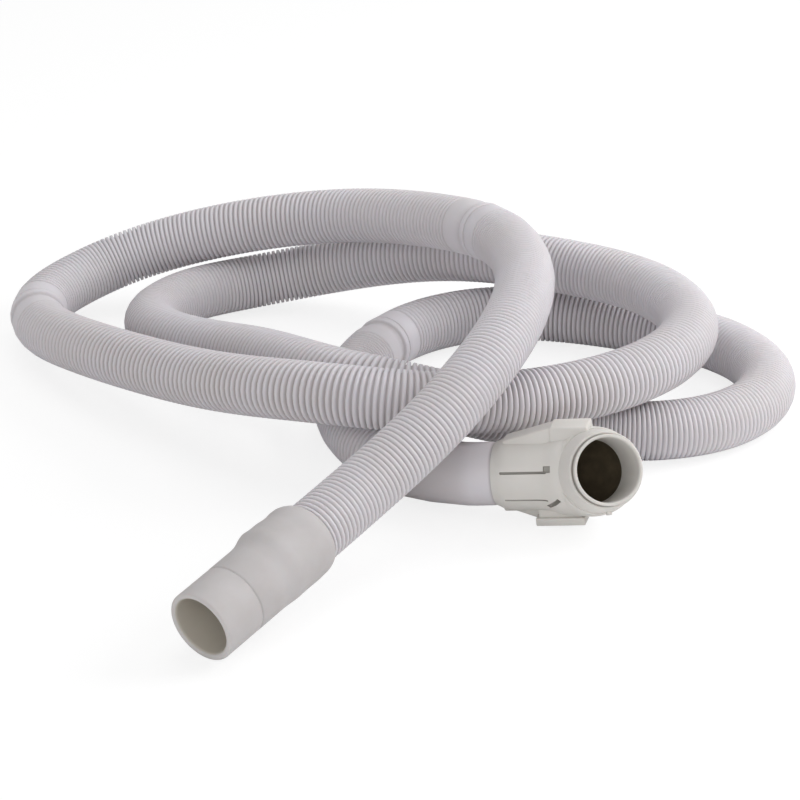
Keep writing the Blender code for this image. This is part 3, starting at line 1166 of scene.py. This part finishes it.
@dataclass
class InletElbow:
    """The moulded elbow: body with slits, two lugs, round heel, tapered collar and spigot.

    Attributes:
        body_length: Length of the body from its socket to the corner.
        body_bore: Diameter of the body's bore.
        heel: Diameter of the round heel.
        spigot_length: Length from the corner to the spigot's rim.
        bore: Diameter of the spigot's bore.
        top_lug_reach: Distance from the body's axis to the top lug's outer face.
        bottom_lug_reach: Distance from the body's axis to the bottom lug's outer face.
        top_lug_middle: Distance from the socket to the middle of the top lug.
        bottom_lug_middle: Distance from the socket to the middle of the bottom lug.
        dark_from: Distance from the corner towards the rim up to which the bore takes the painted shade.
        key_angle: Degrees round the spigot to the key.
        key_reach: Distance from the spigot's axis to the key's middle.
        key_height: Distance from the corner to the key's middle, along the spigot.
        smooth_angle: Angle in degrees below which an edge is shaded smooth.
        seat_gap: Gap to the hose's end.
    """

    body_length: float = 0.0370
    body_bore: float = 0.0224
    heel: float = 0.0350
    spigot_length: float = 0.0220
    bore: float = 0.0248
    top_lug_reach: float = 0.0206
    bottom_lug_reach: float = 0.0196
    top_lug_middle: float = 0.0312
    bottom_lug_middle: float = 0.0246
    dark_from: float = 0.0005
    key_angle: float = 185.0
    key_reach: float = 0.0154
    key_height: float = 0.0118
    smooth_angle: float = 32.0
    seat_gap: float = 0.0003
    socket: Vector = field(init=False)
    corner: Vector = field(init=False)
    base: Matrix = field(init=False)
    bend: Matrix = field(init=False)

    def __post_init__(self) -> None:
        """Work out where the elbow starts and turns."""
        self.socket = Vector(ROUTE[-1]) + ELBOW_AXIS * self.seat_gap
        self.corner = self.socket + ELBOW_AXIS * self.body_length
        self.base = along(self.socket, ELBOW_AXIS)
        self.bend = along(self.corner, SPIGOT_AXIS)

    def spoke(
        self, angle: float, radius: float, height: float, slope: float = 0.0, turn: float = 0.0
    ) -> Matrix:
        """Make a place on the body whose +X points away from its axis.

        Args:
            angle: Degrees from the top round the body.
            radius: Distance from the body's axis, in millimetres.
            height: Distance from the socket, in millimetres.
            slope: Degrees that the place climbs away from the socket.
            turn: Degrees that the place is turned about its +X.

        Returns:
            The place, with +Z along the body.
        """
        around = Matrix.Rotation(radians(angle), 4, "Z")
        out = Matrix.Translation((radius * MILLIMETRE, 0.0, height * MILLIMETRE))
        lean = Matrix.Rotation(radians(slope), 4, "Y") @ Matrix.Rotation(radians(turn), 4, "X")
        return self.base @ around @ out @ lean

    @staticmethod
    def profile(name: str, shape: Sequence[tuple[float, float]], place: Matrix) -> bpy.types.Object:
        """Turn a solid from its radii and heights in millimetres.

        Args:
            name: Name of the solid.
            shape: Radius and height of each ring.
            place: The solid's place.

        Returns:
            The solid.
        """
        rings = [Ring(radius * MILLIMETRE, height * MILLIMETRE) for radius, height in shape]
        piece = Bench.turned(name, rings, closed=False)
        Bench.settle(piece, place)
        return piece

    @staticmethod
    def brick(
        name: str, size: Point, edge: float, place: Matrix, narrow: tuple[float, float] = (1.0, 1.0)
    ) -> bpy.types.Object:
        """Make a block from its sizes in millimetres.

        Args:
            name: Name of the block.
            size: Its height from the body, its width and its length.
            edge: Radius of its rounded edges.
            place: The block's place.
            narrow: Width and length of its outer face as shares of the inner one's.

        Returns:
            The block.
        """
        lengths = tuple(side * MILLIMETRE for side in size)
        piece = Bench.block(name, lengths, edge * MILLIMETRE, narrow)
        Bench.settle(piece, place)
        return piece

    def barrel(self) -> bpy.types.Object:
        """Build the solid body, which swells from the hose's size and again towards the bend.

        Returns:
            The body.
        """
        shape = (
            (12.53, 0.0),
            (12.62, 0.3),
            (13.0, 1.2),
            (13.85, 2.9),
            (14.4, 4.2),
            (14.6, 6.0),
            (14.65, 9.0),
            (14.7, 17.0),
            (14.78, 19.6),
            (15.0, 21.6),
            (15.7, 23.6),
            (16.4, 25.6),
            (16.8, 28.0),
            (17.0, 32.0),
            (17.05, 37.0),
        )
        return self.profile("elbow", shape, self.base)

    def spigot_shape(self) -> bpy.types.Object:
        """Build the solid heel and spigot: thin groove, tapered collar, groove and rolled rim.

        Returns:
            The heel and spigot as one turned solid.
        """
        heel = self.heel / 2 / MILLIMETRE
        rim = self.spigot_length / MILLIMETRE
        turns = [radians(angle) for angle in range(-88, -3, 6)]
        back = [(heel * cos(angle), heel * sin(angle)) for angle in turns]
        front = (
            (17.5, 0.8),
            (17.4, 4.0),
            (17.1, 7.2),
            (16.85, 8.4),
            (16.5, 8.8),
            (15.3, 8.9),
            (15.2, 9.8),
            (16.0, 9.9),
            (16.25, 10.2),
            (16.15, 11.4),
            (14.95, 18.5),
            (14.8, 18.9),
            (14.5, 19.15),
            (14.1, 19.15),
            (13.9, 18.9),
            (13.85, 17.4),
            (13.25, 17.4),
            (13.2, 20.3),
            (13.5, 20.6),
            (13.72, 20.95),
            (13.76, 21.35),
            (13.65, rim - 0.2),
            (13.4, rim),
        )
        return self.profile("spigot", (*back, *front), self.bend)

    def lugs(self) -> list[bpy.types.Object]:
        """Build the two lugs, each with a ridge that climbs to it.

        The top lug blends into the body. The bottom one is a flat plate on a web, with a low step.

        Returns:
            The lugs' solids.
        """
        top = self.top_lug_middle / MILLIMETRE
        top_reach = self.top_lug_reach / MILLIMETRE
        bottom = self.bottom_lug_middle / MILLIMETRE
        bottom_reach = self.bottom_lug_reach / MILLIMETRE
        full = (1.0, 1.0)
        solids = (
            ("top_lug", (5.6, 11.6, 15.6), 0.8, (0.0, top_reach - 2.8, top), (0.84, 0.97)),
            ("top_ridge", (6.0, 9.6, 22.0), 0.7, (0.0, 14.9, 15.2, 15.0), (0.76, 0.97)),
            ("bottom_plate", (3.2, 15.0, 19.6), 0.45, (180.0, bottom_reach - 1.6, bottom), full),
            ("bottom_web", (10.0, 12.0, 17.4), 0.5, (180.0, bottom_reach - 6.0, bottom), full),
            ("bottom_step", (4.0, 9.0, 8.0), 0.5, (180.0, 12.9, 5.2), (0.7, 0.85)),
            ("bottom_ridge", (6.0, 7.0, 13.0), 0.5, (180.0, 14.4, 12.6, 21.0), (0.7, 0.95)),
        )
        return [
            self.brick(name, size, edge, self.spoke(*place), narrow)
            for name, size, edge, place, narrow in solids
        ]

    def key(self) -> bpy.types.Object:
        """Build the small key under the collar.

        Returns:
            The key.
        """
        around = Matrix.Rotation(radians(self.key_angle), 4, "Z")
        out = Matrix.Translation((self.key_reach, 0.0, self.key_height))
        return self.brick("key", (4.0, 1.6, 3.2), 0.3, self.bend @ around @ out)

    def slits(self) -> list[bpy.types.Object]:
        """Build the cutters of the slits and pockets along the body, the same on both sides.

        Returns:
            The cutters.
        """
        made = []
        for side in (1.0, -1.0):
            word = "near" if side > 0 else "far"
            for name, size, place in (
                ("middle_slit", (3.0, 1.0, 18.6), (67.0, 14.9, 13.6)),
                ("lower_slit", (1.0, 0.8, 18.6), (113.0, 14.8, 14.4)),
                ("pocket", (2.8, 2.6, 3.0), (62.5, 15.6, 23.2)),
                ("slanted_slit", (3.6, 1.8, 8.0), (117.0, 15.8, 24.6, 0.0, side * 46.0)),
            ):
                spoke = self.spoke(side * place[0], *place[1:])
                made.append(self.brick(f"{name}_{word}", size, 0.25, spoke))
        return made

    def bores(self, outside: bpy.types.Material, depth_shade: bpy.types.Material) -> list[bpy.types.Object]:
        """Build the solids that hollow the elbow out.

        Args:
            outside: Finish of the moulding.
            depth_shade: Painted shade for the surfaces far inside.

        Returns:
            The body's bore, the hose's socket, and the bend's and spigot's bore.
        """
        body = self.body_bore / 2 / MILLIMETRE
        length = self.body_length / MILLIMETRE
        straight = self.profile("body_bore", ((body, -2.0), (body, length)), self.base)
        straight.data.materials.append(depth_shade)
        socket = self.profile("hose_socket", ((12.5, -2.0), (12.5, 6.4)), self.base)
        socket.data.materials.append(outside)
        bore = self.bore / 2 / MILLIMETRE
        bend = bore + 0.5
        turns = [radians(angle) for angle in range(-87, 0, 6)]
        back = [(bend * cos(angle), bend * sin(angle)) for angle in turns]
        front = (
            (bend, 0.4),
            (bore, 1.1),
            (bore, 20.8),
            (bore + 0.08, 21.4),
            (bore + 0.28, 21.8),
            (bore + 0.6, 22.05),
            (bore + 1.2, 24.0),
        )
        spigot = self.profile("spigot_bore", (*back, *front), self.bend)
        for finish in (outside, depth_shade):
            spigot.data.materials.append(finish)
        # Painted shade: the bore's faces short of dark_from take the dark brown finish.
        corner = self.bend.inverted()
        for face in spigot.data.polygons:
            face.material_index = 1 if (corner @ face.center).z < self.dark_from else 0
        return [straight, socket, spigot]

    def build(
        self, outside: bpy.types.Material, slit_shade: bpy.types.Material, depth_shade: bpy.types.Material
    ) -> bpy.types.Object:
        """Build the elbow as one moulding.

        Args:
            outside: Finish of the moulding.
            slit_shade: Painted shade inside its slits and pockets, a darker grey in place of their shadow.
            depth_shade: Painted shade for the surfaces far inside.

        Returns:
            The elbow.
        """
        elbow = self.barrel()
        elbow.data.materials.append(outside)
        for tool in (self.spigot_shape(), *self.lugs(), self.key()):
            tool.data.materials.append(outside)
            Bench.join(elbow, tool, Blend.ADD)
        # The cutters leave painted shade: a darker grey on the walls of the slits and pockets.
        for tool in self.slits():
            tool.data.materials.append(slit_shade)
            Bench.join(elbow, tool, Blend.CUT)
        for tool in self.bores(outside, depth_shade):
            Bench.join(elbow, tool, Blend.CUT)
        Bench.smooth(elbow, self.smooth_angle)
        return elbow


# Studio


@dataclass(frozen=True)
class Lamp:
    """A soft square lamp that looks at the hose.

    Attributes:
        AIM: Place that every lamp looks at.
        name: Name of the lamp.
        place: Its place.
        size: Side of its square.
        power: Its power in watts.
    """

    AIM = Vector((0.0, 0.0, 0.03))

    name: str
    place: Point
    size: float
    power: float

    def hang(self) -> None:
        """Hang the lamp in its place."""
        data = bpy.data.lights.new(self.name, "AREA")
        data.shape = "SQUARE"
        data.size = self.size
        data.energy = self.power
        lamp = bpy.data.objects.new(self.name, data)
        lamp.location = self.place
        look = self.AIM - Vector(self.place)
        lamp.rotation_euler = look.to_track_quat("-Z", "Y").to_euler()
        bpy.context.scene.collection.objects.link(lamp)


@dataclass
class Studio:
    """Camera, floor, lamps and world.

    Attributes:
        eye: Place of the camera.
        pitch: Angle of the camera below the horizon, in degrees.
        lens: Focal length in millimetres.
        sensor: Width of the camera's sensor in millimetres.
        floor_size: Side of the floor.
        ambient: Strength of the world's even light.
        lamps: The lamps.
    """

    eye: Point = (0.003, -1.048, 0.4769)
    pitch: float = 23.3
    lens: float = 126.0
    sensor: float = 36.0
    floor_size: float = 30.0
    ambient: float = 0.36
    lamps: tuple[Lamp, ...] = (
        Lamp("top_lamp", (0.10, 0.25, 1.6), 1.4, 7.0),
        Lamp("key_lamp", (0.90, 0.15, 0.60), 0.6, 6.4),
        Lamp("front_lamp", (-0.60, -2.20, 0.75), 1.6, 16.0),
    )

    def camera(self) -> None:
        """Set up the camera at the photograph's viewing angle."""
        data = bpy.data.cameras.new("camera")
        data.lens = self.lens
        data.sensor_width = self.sensor
        data.clip_start = 0.01
        camera = bpy.data.objects.new("camera", data)
        camera.location = self.eye
        camera.rotation_euler = (radians(90.0 - self.pitch), 0.0, 0.0)
        bpy.context.scene.collection.objects.link(camera)
        bpy.context.scene.camera = camera

    def floor(self) -> None:
        """Lay the white floor."""
        Bench.deselect()
        bpy.ops.mesh.primitive_plane_add(size=self.floor_size)
        floor = bpy.context.active_object
        floor.name = "floor"
        floor.data.materials.append(StudioFloor().make())

    def world(self) -> None:
        """Set the even light, and a white backdrop for what the camera sees or sees mirrored."""
        world = bpy.data.worlds.new("studio")
        bpy.context.scene.world = world
        world.use_nodes = True
        nodes = world.node_tree.nodes
        links = world.node_tree.links
        around = nodes["Background"]
        backdrop = nodes.new("ShaderNodeBackground")
        for background, strength in ((around, self.ambient), (backdrop, 1.0)):
            background.inputs["Color"].default_value = (1.0, 1.0, 1.0, 1.0)
            background.inputs["Strength"].default_value = strength
        path = nodes.new("ShaderNodeLightPath")
        seen = path.outputs["Is Camera Ray"]
        for ray in ("Is Glossy Ray", "Is Transmission Ray"):
            either = nodes.new("ShaderNodeMath")
            either.operation = "MAXIMUM"
            links.new(seen, either.inputs[0])
            links.new(path.outputs[ray], either.inputs[1])
            seen = either.outputs[0]
        both = nodes.new("ShaderNodeMixShader")
        links.new(seen, both.inputs[0])
        links.new(around.outputs[0], both.inputs[1])
        links.new(backdrop.outputs[0], both.inputs[2])
        links.new(both.outputs[0], nodes["World Output"].inputs["Surface"])

    def light(self) -> None:
        """Set the world and hang the lamps."""
        self.world()
        for lamp in self.lamps:
            lamp.hang()
        bpy.context.scene.view_settings.view_transform = "Standard"


def main() -> None:
    """Build the scene in order and report each piece."""
    logging.basicConfig(level=logging.INFO, format="%(name)s: %(message)s")
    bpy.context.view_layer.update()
    studio = Studio()
    studio.camera()

    hose_model = CorrugatedHose()
    hose = hose_model.build()
    hose.data.materials.append(RibbedPlastic().make())
    cuff = OutletCuff().build()
    cuff.data.materials.append(CuffRubber().make())
    # Painted shade in the slits and pockets: the same elbow plastic, darker.
    slit_shade = ElbowPlastic("elbow_slit_shade", (0.400, 0.384, 0.356), (0.330, 0.314, 0.286))
    # The dark brown finish far inside the elbow is painted shade.
    elbow = InletElbow().build(ElbowPlastic().make(), slit_shade.make(), ElbowDepthShade().make())
    for piece, node, slot in (
        (hose, "corrugated_hose", "hose_plastic"),
        (cuff, "outlet_cuff", "cuff_rubber"),
        (elbow, "inlet_elbow", "elbow_plastic"),
    ):
        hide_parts(node)
        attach(piece, BODY)
        LOG.info("%s: %d faces", piece.name, len(piece.data.polygons))
    hose_model.declare()
    studio.floor()
    studio.light()
    LOG.info("studio set")


if __name__ == "__main__":
    main()
